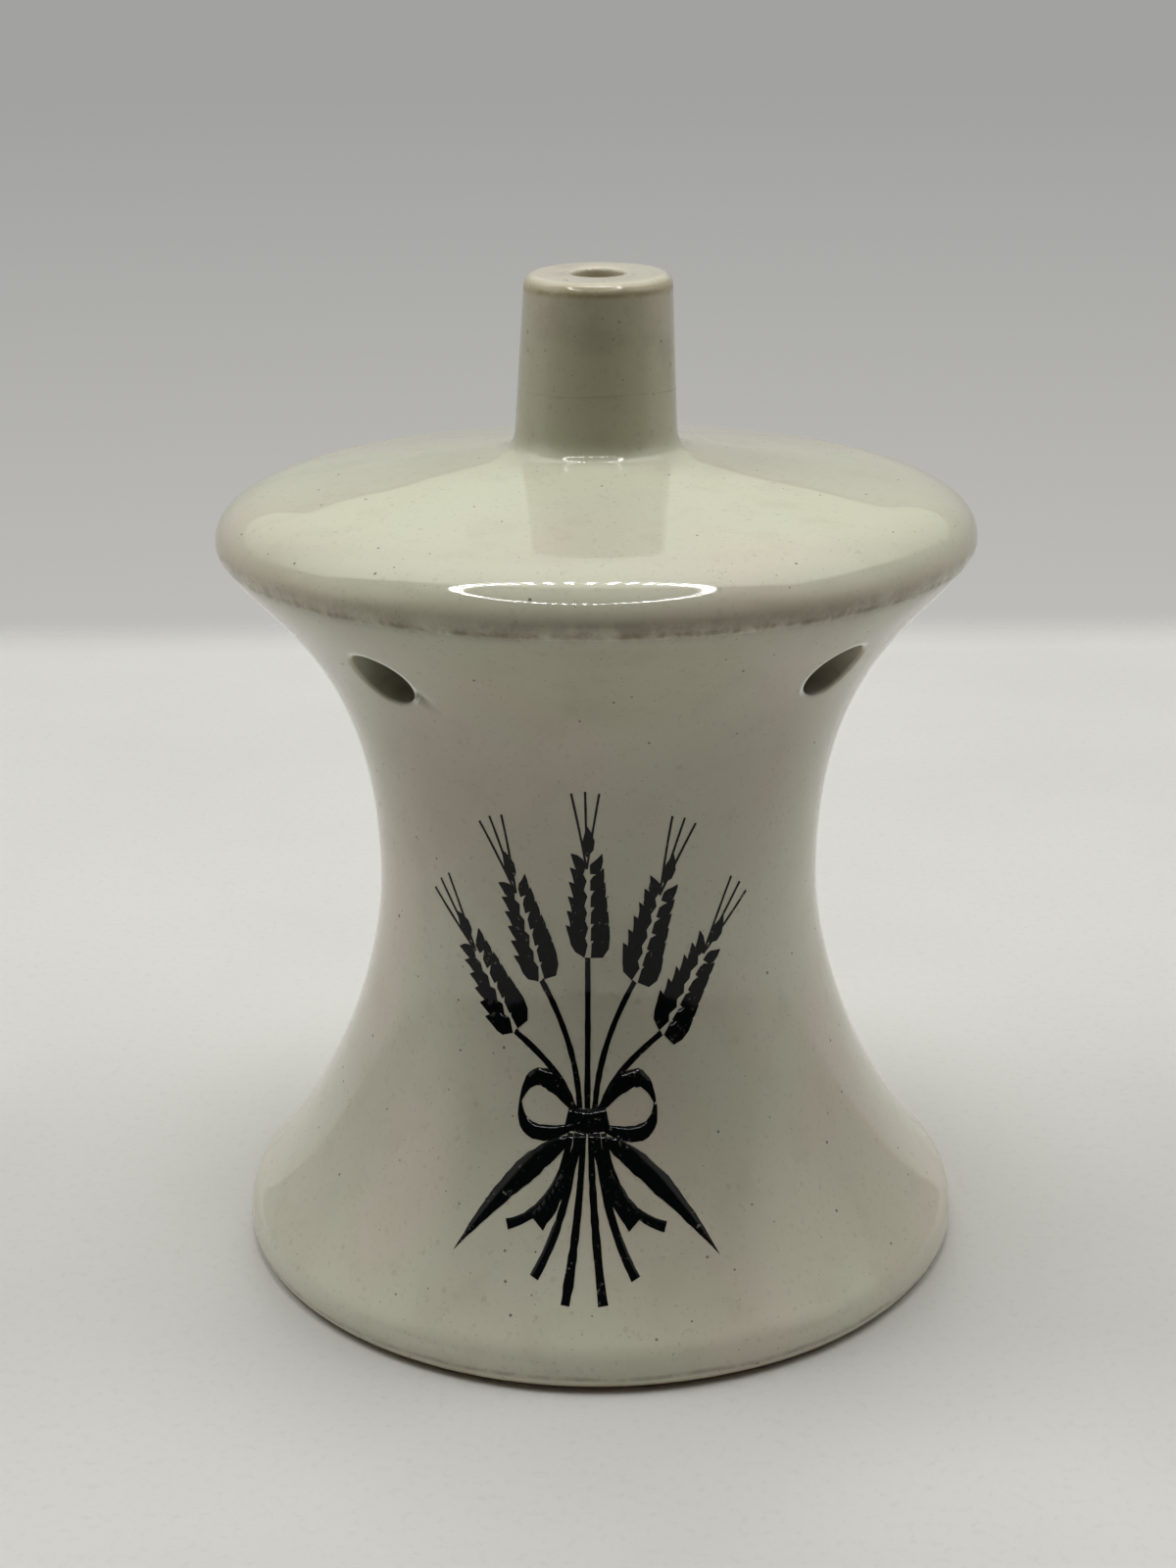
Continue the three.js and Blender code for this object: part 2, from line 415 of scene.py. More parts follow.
def body_skin():
    """The waisted body with its four vents."""
    foot_edge_centre = at(FOOT_RADIUS - FOOT_EDGE_INSET, FOOT_WIDEST)
    ring_inside = foot_edge_centre[0] - FOOT_RING
    cavity = [point for point in WALL_INSIDE if point[1] < COVER_SEAT[1] and point[0] < ring_inside]
    outer, outer_first = with_band(WALL_OUTSIDE, *OUTER_BAND)
    inner, inner_first = with_band(cavity, *INNER_BAND)
    foot = joined(
        arc(foot_edge_centre, FOOT_EDGE_INSET, FOOT_WIDEST, -math.pi / 2, 0, steps=8),
        arc(LIP_CENTRE, LIP_ROUND, LIP_ROUND, 0, FLARE_ANGLE, steps=9)[:-1],
    )
    ring_edge_centre = at(ring_inside + FOOT_INNER_EDGE, FOOT_INNER_EDGE)
    ring_edge = arc(ring_edge_centre, FOOT_INNER_EDGE, FOOT_INNER_EDGE, math.pi, 1.5 * math.pi, steps=4)
    section = foot + outer + [at(SEAT_INNER_RADIUS, COVER_SEAT[1])] + inner[::-1]
    section += [at(ring_inside, FOOT_INNER_EDGE + FOOT_WIDEST)] + ring_edge
    skin = Skin()
    rings = [skin.ring(*point) for point in section]
    outer_row = len(foot) + outer_first
    inner_top = len(foot) + len(outer) + 1
    inner_row = inner_top + len(inner) - 1 - inner_first
    windows = []
    for bearing in VENT_BEARINGS:
        columns, outer_edge = window(rings, outer_row, bearing, 1)
        inner_edge = window(rings, inner_row, bearing, -1)[1]
        windows.append((bearing, columns, outer_edge, inner_edge))
    open_columns = [c for _, columns, _, _ in windows for c in columns]
    outer_rows = range(outer_row, outer_row + BAND_ROWS)
    inner_rows = range(inner_row - BAND_ROWS, inner_row)
    for i, (low, high) in enumerate(zip(rings, rings[1:] + rings[:1])):
        skin.band(low, high, open_columns if i in outer_rows or i in inner_rows else ())
    for bearing, _, outer_edge, inner_edge in windows:
        pierce(skin, bearing, outer_edge, inner_edge)
    return skin


def cover_skin():
    """The cover with its rolled rim and the stub that carries the chimney."""
    roll_centre = at(RIM_RADIUS - RIM_UNDER_ROUND, RIM_HEIGHT)
    rim = at(RIM_RADIUS, RIM_HEIGHT)

    def ceiling(radius):
        return at(radius, cover_height(radius) - WALL / math.cos(COVER_SLOPE))

    throat = ceiling(BORE_RADIUS + THROAT_ROUND)
    ceiling_edge = ceiling(SEAT_INNER_RADIUS - CEILING_CORNER)
    seat_inside = at(SEAT_INNER_RADIUS, COVER_SEAT[1])
    cone = [at(r, cover_height(r)) for r in np.linspace(SHOULDER[0], SWEEP_FOOT[0], CONE_ROWS)]
    return turned(joined(
        arc(roll_centre, RIM_UNDER_ROUND, RIM_UNDER_ROUND, -UNDER_RIM_ANGLE, 0, steps=7),
        sweep(rim, rim + at(0, SHOULDER_PULL_UP),
              step(SHOULDER, -COVER_SLOPE, SHOULDER_PULL_IN), SHOULDER, steps=26),
        cone,
        sweep(SWEEP_FOOT, step(SWEEP_FOOT, math.pi - COVER_SLOPE, SWEEP_PULL_IN),
              step(CHIMNEY_FOOT, CHIMNEY_TAPER, -SWEEP_PULL_DOWN), CHIMNEY_FOOT, steps=16),
        sweep(CHIMNEY_FOOT, CHIMNEY_FOOT, CHIMNEY_SEAT, CHIMNEY_SEAT, steps=5),
        [at(BORE_RADIUS, CHIMNEY_SEAT_HEIGHT)],
        arc(at(BORE_RADIUS + THROAT_ROUND, throat[1] + THROAT_ROUND), THROAT_ROUND, THROAT_ROUND,
            math.pi, 1.5 * math.pi, steps=6),
        sweep(ceiling_edge, step(ceiling_edge, -COVER_SLOPE, CEILING_CORNER_PULL),
              seat_inside + at(0, CEILING_CORNER_PULL), seat_inside, steps=6),
    ))


def chimney_skin():
    """The chimney above its luted seat."""
    top_centre = at(CHIMNEY_TOP[0] - CHIMNEY_TOP_ROUND, CHIMNEY_TOP[1])
    bore_edge = at(BORE_RADIUS + BORE_EDGE_ROUND, OVERALL_HEIGHT - BORE_EDGE_ROUND)
    return turned(joined(
        sweep(CHIMNEY_SEAT, CHIMNEY_SEAT, CHIMNEY_TOP, CHIMNEY_TOP, steps=12),
        arc(top_centre, CHIMNEY_TOP_ROUND, CHIMNEY_TOP_ROUND, 0, math.pi / 2, steps=8),
        arc(bore_edge, BORE_EDGE_ROUND, BORE_EDGE_ROUND, math.pi / 2, math.pi, steps=5),
        [at(BORE_RADIUS, CHIMNEY_SEAT_HEIGHT)],
    ))


def make_camera():
    data = bpy.data.cameras.new("camera")
    data.sensor_width = SENSOR_LONG_SIDE
    data.lens = FOCAL_PIXELS / IMAGE_LONG_SIDE * SENSOR_LONG_SIDE
    camera = bpy.data.objects.new("camera", data)
    bpy.context.scene.collection.objects.link(camera)
    turn = Matrix.Rotation(rad(90 - CAMERA_PITCH), 4, "X") @ Matrix.Rotation(rad(CAMERA_ROLL), 4, "Z")
    camera.matrix_world = Matrix.Translation(Vector(CAMERA_PLACE) * MM) @ turn
    bpy.context.scene.camera = camera


# Specks: the smallest against the usual, and where each fades at its edge
SMALLEST_SPECK = 0.4
SPECK_EDGE = (1, 0.6)


class Nodes:
    """Short ways to write the nodes of a material or the world."""

    def __init__(self, owner):
        owner.use_nodes = True
        self.owner = owner
        self.tree = owner.node_tree
        self.tree.nodes.clear()

    def node(self, kind, **inputs):
        made = self.tree.nodes.new(kind)
        for name, value in inputs.items():
            self.put(made.inputs[name.replace("_", " ")], value)
        return made

    def put(self, socket, value):
        if isinstance(value, bpy.types.NodeSocket):
            self.tree.links.new(value, socket)
        else:
            socket.default_value = value

    def maths(self, operation, *values, clamp=False):
        made = self.tree.nodes.new("ShaderNodeMath")
        made.operation = operation
        made.use_clamp = clamp
        for socket, value in zip(made.inputs, values):
            self.put(socket, value)
        return made.outputs[0]

    def vector(self, operation, *values, scale=None):
        made = self.tree.nodes.new("ShaderNodeVectorMath")
        made.operation = operation
        for socket, value in zip(made.inputs, values):
            self.put(socket, value)
        if scale is not None:
            self.put(made.inputs["Scale"], scale)
        return made.outputs

    def times(self, first, second):
        return self.maths("MULTIPLY", first, second)

    def stained(self, tone, share, strength, stain):
        """A tone with a stain where share is 1, at the stain's strength."""
        return self.mix(self.times(share, strength), tone, stain)

    def between(self, value, low, high, smooth=True):
        """0 where value is at or below low, 1 at or above high. With low above high it falls."""
        made = self.tree.nodes.new("ShaderNodeMapRange")
        made.interpolation_type = "SMOOTHSTEP" if smooth else "LINEAR"
        self.put(made.inputs["Value"], value)
        if low < high:
            made.inputs["From Min"].default_value = low
            made.inputs["From Max"].default_value = high
            return made.outputs["Result"]
        made.inputs["From Min"].default_value = high
        made.inputs["From Max"].default_value = low
        made.inputs["To Min"].default_value = 1
        made.inputs["To Max"].default_value = 0
        return made.outputs["Result"]

    def mix(self, share, first, second):
        made = self.tree.nodes.new("ShaderNodeMix")
        made.data_type = "RGBA"
        self.put(made.inputs[0], share)
        for socket, value in ((made.inputs[6], first), (made.inputs[7], second)):
            self.put(socket, value)
        return made.outputs[2]

    def blend(self, share, first, second):
        """A shader between two others."""
        made = self.node("ShaderNodeMixShader", Fac=share)
        for socket, shader in zip(made.inputs[1:], (first, second)):
            self.tree.links.new(shader.outputs[0], socket)
        return made

    def place(self):
        return self.node("ShaderNodeTexCoord").outputs["Object"]

    def noise(self, place, size, detail=2.0, roughness=0.5):
        """Noise from 0 to 1 whose features are about size metres across."""
        made = self.node("ShaderNodeTexNoise", Vector=place, Scale=1 / size, Detail=detail,
                         Roughness=roughness)
        return made.outputs["Fac"]

    def specks(self, place, spacing, radius, share):
        """1 inside small round specks that stand about spacing metres apart, in a share of the cells."""
        cells = self.node("ShaderNodeTexVoronoi", Vector=place, Scale=1 / spacing)
        split = self.node("ShaderNodeSeparateColor", Color=cells.outputs["Color"])
        chosen = self.maths("LESS_THAN", split.outputs["Red"], share)
        size = self.maths("MULTIPLY_ADD", split.outputs["Green"], radius / spacing,
                          SMALLEST_SPECK * radius / spacing)
        reach = self.maths("DIVIDE", cells.outputs["Distance"], size)
        return self.times(self.between(reach, *SPECK_EDGE), chosen)

    def finish(self, shader, output="ShaderNodeOutputMaterial"):
        output = self.node(output)
        self.tree.links.new(shader.outputs[0], output.inputs["Surface"])
        return self.owner


def colour(red, green, blue):
    """A colour from its usual 0 to 255 values."""
    def linear(value):
        value /= 255
        return value / 12.92 if value <= 0.04045 else ((value + 0.055) / 1.055) ** 2.4
    return (linear(red), linear(green), linear(blue), 1)


# Tones of the glaze and of what lies on it
CREAM = colour(218, 214, 193)
WARM = colour(221, 209, 191)
GREENISH = colour(206, 210, 182)
BROWN = colour(126, 111, 80)
# Painted highlight on the front edge of each vent's lip
PAINTED_LIP_HIGHLIGHT = colour(250, 249, 242)
# Olive tone for painted shade under the rim and on the chimney, partly the chimney's own tint
OLIVE_TINT_AND_SHADE = colour(140, 132, 108)
ROLL_TONE = colour(226, 211, 184)
STAIN = colour(192, 176, 130)
BARE_CLAY = colour(196, 176, 150)
# Dark specks and pits, and the painted shade inside the vents
DARK_SPECK_AND_SHADE = colour(92, 84, 70)
YELLOW_SPECK = colour(206, 178, 92)
INK = colour(13, 15, 16)

# Clouds, smudges and pits, as the size of a noise in metres and the two values between which it sets in
WARM_CLOUD_SIZE = 0.022
WARM_CLOUDS = (0.42, 0.62)
TINT_SIZE = 0.03
TINTS = (0.3, 0.7)
TINT_SWING = 0.5
SMUDGE_SIZE = 0.0035
SMUDGES = (0.5, 0.72)
PIT_SIZE = 0.0005
PITS = (0.56, 0.7)
PIT_STRENGTH = 0.09

# Specks as their spacing and radius in metres and the share of places that hold one, then strength and tone
BROWN_SPECKS = (0.0013, 0.00022, 0.6)
BROWN_SPECK_STRENGTH = 2
SPECKS = [
    (0.0006, 0.00006, 0.9, 0.45, DARK_SPECK_AND_SHADE),
    (0.0016, 0.00012, 0.8, 0.8, DARK_SPECK_AND_SHADE),
    (0.006, 0.00022, 0.4, 0.9, DARK_SPECK_AND_SHADE),
    (0.009, 0.0003, 0.25, 0.6, YELLOW_SPECK),
]

# Gloss and relief, in metres: slow ripples and a fine peel
GLAZE_ROUGHNESS = 0.045
GLAZE_IOR = 1.5
RIPPLE_SIZE = 0.009
PEEL_SIZE = 0.0011
SMUDGE_RELIEF = 0.05
RELIEF_STRENGTH = 0.5
RELIEF_HEIGHT = 0.00012

# Worn lines round the pot and painted shade in the crease under the rim, in metres: height, half width,
# strength, and slant down to the back
RIM_LINE = COVER_SEAT[1] * MM
WORN_RIM = (RIM_LINE + 0.0006, 0.0013, 0.55, 0)
# Partly brown wear, partly painted shade of the shallow crease where the roll meets the body
RIM_CREASE_WEAR_AND_SHADE = (RIM_LINE + 0.0003, 0.0004, 0.7, 0)
CHIMNEY_JOINT = (CHIMNEY_SEAT_HEIGHT * MM, 0.00012, 0.26, 0.05)
TOP_EDGE = (0.079, 0.0004, 0.45, 0)
FOOT_WEAR = (0.0013, 0.00035, 0.5, 0)
LINE_WANDER = 0.0006
LINE_WANDER_SIZE = 0.006
LINE_BREAK_SIZE = 0.0022
LINE_BREAKS = (0.28, 0.68)

# Bands of another tone, in metres: where each starts, is full, is full last and ends, then share and tone
# Painted shade on the neck under the rim, in an olive tone
UNDER_RIM_PAINTED_SHADE = (0.028, 0.05, 0.06, 0.07, 0.22, OLIVE_TINT_AND_SHADE)
# The chimney and the stub below it: partly their olive tint, partly painted shade
CHIMNEY_OLIVE_AND_SHADE = (0.0662, 0.0685, 0.0788, 0.0795, 0.22, OLIVE_TINT_AND_SHADE)
ROLL_GLAZE = (0.0588, 0.0594, 0.0606, 0.0622, 0.4, ROLL_TONE)
TOP_STAIN = (0.0785, 0.079, 0.0794, 0.0799, 0.5, STAIN)

# The resting ring, wiped bare up to a ragged edge, in metres
BARE_EDGE_SIZE = 0.002
BARE_LOWEST = 0.0001
BARE_RAGGED = 0.0009
BARE_FADE = (0.0001, -0.00005)
BARE_ROUGHER = 0.6

# Painted highlight on each vent's lip where it faces the front and painted shade in the tunnel behind it, by
# the distance from a vent's axis, and dirt in the groove beside the first
VENT_HIGHLIGHT_REACH = ((VENT_RADIUS + 1.7 * VENT_LIP) * MM, (VENT_RADIUS + 1.2 * VENT_LIP) * MM)
VENT_HIGHLIGHT_SIDEWAYS = 1.2
VENT_SHADE_REACH = ((VENT_RADIUS + VENT_LIP / 3) * MM, (VENT_RADIUS + VENT_LIP / 6) * MM)
VENT_SHADE = (0.7 * VENT_RADIUS * MM, -VENT_RADIUS * MM)
# How dark the painted shade inside each vent is
VENT_SHADE_STRENGTH = 0.75
GROOVE_DIRT = 0.85
GROOVE_DIRT_REACH = 1.6 * GROOVE_WIDTH * MM
GROOVE_DIRT_END = 1.1

# Ink of the print, which lets the glaze through where it is thin
INK_IOR = 1.28
INK_GRAIN_SIZE = 0.00045
INK_PATCH_SIZE = 0.004
INK_PATCHES = 0.35
INK_THIN = (0.8, 0.96)
INK_THIN_SHARE = 0.4


def vent_highlight_and_shade(n, place, tone):
    """A painted highlight along the edge of each vent that faces the front, and painted shade in the tunnel
    behind that edge that fades towards the far side.
    """
    for bearing in VENT_BEARINGS:
        inwards, across, over = vent_frame(bearing)
        farther = math.copysign(1, bearing) * across
        nearer = (over - VENT_HIGHLIGHT_SIDEWAYS * farther).normalized()
        mouth = around(radius_at(WALL_OUTSIDE, VENT_HEIGHT), VENT_HEIGHT, bearing) * MM
        here = n.vector("SUBTRACT", place, mouth)["Vector"]
        away = n.vector("LENGTH", n.vector("CROSS_PRODUCT", here, inwards)["Vector"])["Value"]
        beside = n.vector("DOT_PRODUCT", here, nearer)["Value"]
        near_side = n.between(beside, -VENT_LIP * MM, VENT_RADIUS * MM / 2)
        shade = n.between(n.vector("DOT_PRODUCT", here, farther)["Value"], *VENT_SHADE)
        tone = n.mix(n.times(n.between(away, *VENT_HIGHLIGHT_REACH), near_side), tone, PAINTED_LIP_HIGHLIGHT)
        tone = n.stained(tone, n.times(n.between(away, *VENT_SHADE_REACH), shade), VENT_SHADE_STRENGTH, DARK_SPECK_AND_SHADE)
    return tone


def groove_dirt(n, place, tone):
    """Dirt in the groove beside the first vent, fading towards the groove's end."""
    depths = (GROOVE_DEPTH, GROOVE_DEPTH * (1 - GROOVE_FADE))
    start, end = (around(radius_at(WALL_OUTSIDE, height) - depth, height, bearing) * MM
                  for (bearing, height), depth in zip((GROOVE_START, GROOVE_END), depths))
    run = end - start
    here = n.vector("SUBTRACT", place, start)["Vector"]
    along = n.vector("DOT_PRODUCT", here, run)["Value"]
    share = n.maths("DIVIDE", along, run.length_squared, clamp=True)
    nearest = n.vector("SCALE", run, scale=share)["Vector"]
    away = n.vector("DISTANCE", here, nearest)["Value"]
    dirt = n.times(n.between(away, GROOVE_DIRT_REACH, 0), n.between(share, GROOVE_DIRT_END, 0))
    return n.stained(tone, dirt, GROOVE_DIRT, DARK_SPECK_AND_SHADE)


def clouded(n, place, fine, greener, smudged):
    """Cream with slow warm and green clouds, and brownish smudges and specks."""
    tone = n.mix(n.between(n.noise(place, WARM_CLOUD_SIZE), *WARM_CLOUDS), CREAM, WARM)
    tint = n.times(n.between(n.noise(place, TINT_SIZE, detail=3), *TINTS), TINT_SWING)
    tone = n.mix(n.maths("ADD", tint, greener - TINT_SWING / 2, clamp=True), tone, GREENISH)
    tone = n.stained(tone, n.between(fine, *SMUDGES), smudged, BROWN)
    return n.stained(tone, n.specks(place, *BROWN_SPECKS), BROWN_SPECK_STRENGTH * smudged, BROWN)


def banded(n, height, tone, bands):
    """Bands of another tone: painted shade under the rim, a darker olive on the chimney that is partly
    painted shade, a warmer roll and a stain on the chimney's top.
    """
    for low, full_low, full_high, high, share, other in bands:
        here = n.times(n.between(height, low, full_low), n.between(height, high, full_high))
        tone = n.stained(tone, here, share, other)
    return tone


def lined(n, place, split, tone, lines):
    """Brown lines round the pot, which wander and break up."""
    for line_height, half_width, strength, slant in lines:
        wander = n.maths("MULTIPLY_ADD", n.noise(place, LINE_WANDER_SIZE), LINE_WANDER,
                         line_height - LINE_WANDER / 2)
        wander = n.maths("MULTIPLY_ADD", split.outputs["Y"], -slant, wander)
        away = n.maths("ABSOLUTE", n.maths("SUBTRACT", split.outputs["Z"], wander))
        broken = n.between(n.noise(place, LINE_BREAK_SIZE, detail=4, roughness=0.7), *LINE_BREAKS)
        tone = n.stained(tone, n.times(n.between(away, half_width, 0), broken), strength, BROWN)
    return tone


def bare_ring(n, place, height, tone):
    """The resting ring without glaze. Gives its tone and roughness."""
    ragged = n.maths("MULTIPLY_ADD", n.noise(place, BARE_EDGE_SIZE, detail=4), BARE_RAGGED, BARE_LOWEST)
    bare = n.between(n.maths("SUBTRACT", height, ragged), *BARE_FADE)
    return n.mix(bare, tone, BARE_CLAY), n.maths("MULTIPLY_ADD", bare, BARE_ROUGHER, GLAZE_ROUGHNESS)


def speckled(n, place, tone):
    """Specks and fine pits all over the glaze."""
    for spacing, radius, share, strength, speck in SPECKS:
        tone = n.stained(tone, n.specks(place, spacing, radius, share), strength, speck)
    pits = n.between(n.noise(place, PIT_SIZE, detail=3, roughness=0.6), *PITS)
    return n.stained(tone, pits, PIT_STRENGTH, DARK_SPECK_AND_SHADE)


def glaze(name, greener, lines=(), bands=(), smudged=0.07, peel=0.025, bare_foot=False, vents=False):
    """Cream glaze. greener is its overall tint, smudged how cloudy it is and peel how grainy its surface."""
    n = Nodes(bpy.data.materials.new(name))
    place = n.place()
    split = n.node("ShaderNodeSeparateXYZ", Vector=place)
    height = split.outputs["Z"]
    fine = n.noise(place, SMUDGE_SIZE, detail=4)
    tone = clouded(n, place, fine, greener, smudged)
    tone = banded(n, height, tone, bands)
    tone = lined(n, place, split, tone, lines)
    roughness = GLAZE_ROUGHNESS
    if bare_foot:
        tone, roughness = bare_ring(n, place, height, tone)
    tone = speckled(n, place, tone)
    if vents:
        # Painted highlight and shade at the vents, then dirt in the groove
        tone = groove_dirt(n, place, vent_highlight_and_shade(n, place, tone))
    grain = n.times(n.noise(place, PEEL_SIZE, detail=1), peel)
    grain = n.maths("MULTIPLY_ADD", fine, SMUDGE_RELIEF, grain)
    relief = n.maths("ADD", n.noise(place, RIPPLE_SIZE, detail=1), grain)
    bump = n.node("ShaderNodeBump", Height=relief, Strength=RELIEF_STRENGTH, Distance=RELIEF_HEIGHT)
    shader = n.node("ShaderNodeBsdfPrincipled", Base_Color=tone, Roughness=roughness, IOR=GLAZE_IOR,
                    Normal=bump.outputs["Normal"])
    return n.finish(shader)


def printed_ink():
    """Transfer print under the glaze: black that breaks up where the paper let go."""
    n = Nodes(bpy.data.materials.new("transfer_print"))
    place = n.place()
    grain = n.noise(place, INK_GRAIN_SIZE, detail=3, roughness=0.7)
    patches = n.noise(place, INK_PATCH_SIZE, detail=2)
    thin = n.between(n.maths("MULTIPLY_ADD", patches, INK_PATCHES, grain), *INK_THIN)
    tone = n.stained(INK, thin, INK_THIN_SHARE, CREAM)
    shader = n.node("ShaderNodeBsdfPrincipled", Base_Color=tone, Roughness=GLAZE_ROUGHNESS, IOR=INK_IOR)
    return n.finish(shader)


# The transfer print: a tied sheaf of wheat. Its x runs round the wall and its y up the wall's slope, in
# millimetres from the tie, before the print is made broader and taller.
PRINT_BEARING = rad(-3)
PRINT_TIE_HEIGHT = 18.3
PRINT_BROADER = 1.06
PRINT_TALLER = 1.28
PRINT_LIFT = 0.03
PRINT_SUNK = -0.06
STROKE_STEP = 0.5
FEWEST_POINTS = 5
THINNEST_STROKE = 0.02
RAGGED = 0.25
RAGGED_FINENESS = 3.1

# Ears by their lean in degrees and their reach, fanned out on bent stems
EARS = [(-37, 11.5), (-19, 13.6), (0, 14.6), (19, 13.6), (37, 11.5)]
WIDEST_LEAN = 37
EAR_SIDEWAYS = 0.82
EAR_UPWARDS = 0.9
EAR_DROP = 3.2
EAR_LEAN = 1.05
EAR_LENGTH = 7.2
STEM_WIDTH = 0.42
STEM_ROOT = (1.1, 0.7)
STEM_BEND = (1.4, 0.55)

# An ear's grains, in pairs that get smaller upwards, and its fine awns
GRAIN_PAIRS = 6
TIP_ROOM = 0.6
GRAIN_SHRINK = 0.07
GRAIN_APART = 0.25
GRAIN_SPREAD = rad(35)
GRAIN_SIZE = (2.5, 1.35)
TIP_GRAIN_SIZE = (2.2, 0.95)
GRAIN_BEND = 0.16
GRAIN_FULLNESS = 0.7
AWN_STARTS = {-1: 0.8, 0: 0.98, 1: 0.8}
AWN_LENGTH = 3.9
AWN_SPREAD = rad(15)
AWN_WIDTH = 0.17

# Cut stalks below the tie, by where their ends stand
STALK_ENDS = (-5.4, -3.3, -1.2, 1.2, 3.3, 5.4)
STALK_TOP = (0.22, -0.8)
STALK_BEND = (0.35, -5.5)
STALK_LENGTH = 11.2
STALK_ROUNDING = 0.16
STALK_WIDTHS = (0.4, 0.62)

# The right half of leaf and bow, each curve as its start, bend and end
LEAF = ((1, -1), (5.2, -3), (9, -8.6))
LEAF_WIDTH = 1.5
LEAF_FULLNESS = 0.75
BOW_LOOP = [
    (((0.5, 0.1), (3.9, 4.4), (5, 0.9)), 0.95, 0.9),
    (((5, 0.9), (5, -2), (0.5, -0.2)), 0.8, 1.1),
]
BOW_THINNEST = 0.2
BOW_TAIL = ((0.4, -0.6), (1.4, -4.2), (3.4, -6.2))
TAIL_WIDTHS = (0.5, 1.3)
KNOT = ((-1.5, 0.15), (0, -0.3), (1.5, 0.15))
KNOT_WIDTH = 1.5

OUTER_POINTS = np.array(WALL_OUTSIDE)
OUTER_RUN = np.concatenate([[0], np.cumsum(np.linalg.norm(np.diff(OUTER_POINTS, axis=0), axis=1))])
TIE_RUN = float(np.interp(PRINT_TIE_HEIGHT, OUTER_POINTS[:, 1], OUTER_RUN))
TIE_RADIUS = radius_at(WALL_OUTSIDE, PRINT_TIE_HEIGHT)


def on_wall(x, y, lift):
    """The point of the outside wall that a point of the print lies on."""
    run = TIE_RUN + PRINT_TALLER * y
    radius = float(np.interp(run, OUTER_RUN, OUTER_POINTS[:, 0]))
    height = float(np.interp(run, OUTER_RUN, OUTER_POINTS[:, 1]))
    turn = PRINT_BROADER * x / (0.5 * TIE_RADIUS + 0.5 * radius)
    return around(radius + lift, height, PRINT_BEARING + turn)


def stroke(skin, path, widths):
    """A closed, very thin stroke of ink along a path, as wide at each point as widths says."""
    path = np.array(path, float)
    along = np.gradient(path, axis=0)
    along /= np.linalg.norm(along, axis=1)[:, None]
    side = np.stack([-along[:, 1], along[:, 0]], 1)
    loops = []
    for (x, y), (sx, sy), width in zip(path, side, widths):
        ragged = 1 + RAGGED * noise.noise(Vector((x, y, 0)) * RAGGED_FINENESS)
        half = 0.5 * max(width, THINNEST_STROKE) * ragged
        corners = [(reach, PRINT_LIFT) for reach in (-half, 0, half)]
        corners += [(reach, PRINT_SUNK) for reach in (half, 0, -half)]
        loops.append(skin.line([on_wall(x + sx * a, y + sy * a, lift) for a, lift in corners]))
    for low, high in zip(loops, loops[1:]):
        skin.band(low, high)
    skin.faces.append(tuple(loops[0][::-1]))
    skin.faces.append(tuple(loops[-1]))


def curve(start, bend, end):
    """Points along a simple curve from start to end that leans towards bend."""
    start, bend, end = (np.array(point, float) for point in (start, bend, end))
    length = np.linalg.norm(bend - start) + np.linalg.norm(end - bend)
    t = np.linspace(0, 1, max(FEWEST_POINTS, int(length / STROKE_STEP)))[:, None]
    return (1 - t) ** 2 * start + 2 * (1 - t) * t * bend + t**2 * end


def leaf_widths(count, widest, fullness):
    """Widths of a leaf or grain that is pointed at both ends."""
    t = np.linspace(0, 1, count)
    return widest * np.sin(math.pi * t**fullness)


def even_widths(count, width):
    return np.full(count, float(width))


def heading(angle):
    """The direction at an angle from straight up."""
    return np.array([math.sin(angle), math.cos(angle)])


def grain(skin, foot, angle, length, width):
    """One grain as a pointed drop, leaning at an angle from straight up."""
    end = foot + length * heading(angle)
    side = GRAIN_BEND * length * np.array([math.cos(angle), -math.sin(angle)])
    path = curve(foot, (foot + end) / 2 + side, end)
    stroke(skin, path, leaf_widths(len(path), width, GRAIN_FULLNESS))


def ear(skin, foot, angle):
    """An ear of wheat: pairs of grains up a stem, one at its tip, and fine awns."""
    way = heading(angle)
    places = GRAIN_PAIRS + TIP_ROOM
    for i in range(GRAIN_PAIRS):
        here = foot + way * EAR_LENGTH * i / places
        length, width = (size * (1 - GRAIN_SHRINK * i) for size in GRAIN_SIZE)
        for side in (-1, 1):
            beside = here + GRAIN_APART * side * np.array([way[1], -way[0]])
            grain(skin, beside, angle + side * GRAIN_SPREAD, length, width)
    grain(skin, foot + way * EAR_LENGTH * GRAIN_PAIRS / places, angle, *TIP_GRAIN_SIZE)
    for side, share in AWN_STARTS.items():
        start = foot + way * EAR_LENGTH * share
        end = foot + AWN_LENGTH * heading(angle + side * AWN_SPREAD) + way * EAR_LENGTH
        path = curve(start, (start + end) / 2, end)
        stroke(skin, path, even_widths(len(path), AWN_WIDTH))


def ears_and_stems(skin):
    for lean, reach in EARS:
        turn = rad(lean)
        foot = np.array([
            math.sin(turn) * reach * EAR_SIDEWAYS,
            math.cos(turn) * reach * EAR_UPWARDS - EAR_DROP,
        ])
        start = np.array([lean / WIDEST_LEAN * STEM_ROOT[0], STEM_ROOT[1]])
        path = curve(start, (start[0] * STEM_BEND[0], foot[1] * STEM_BEND[1]), foot)
        stroke(skin, path, even_widths(len(path), STEM_WIDTH))
        ear(skin, foot, turn * EAR_LEAN)


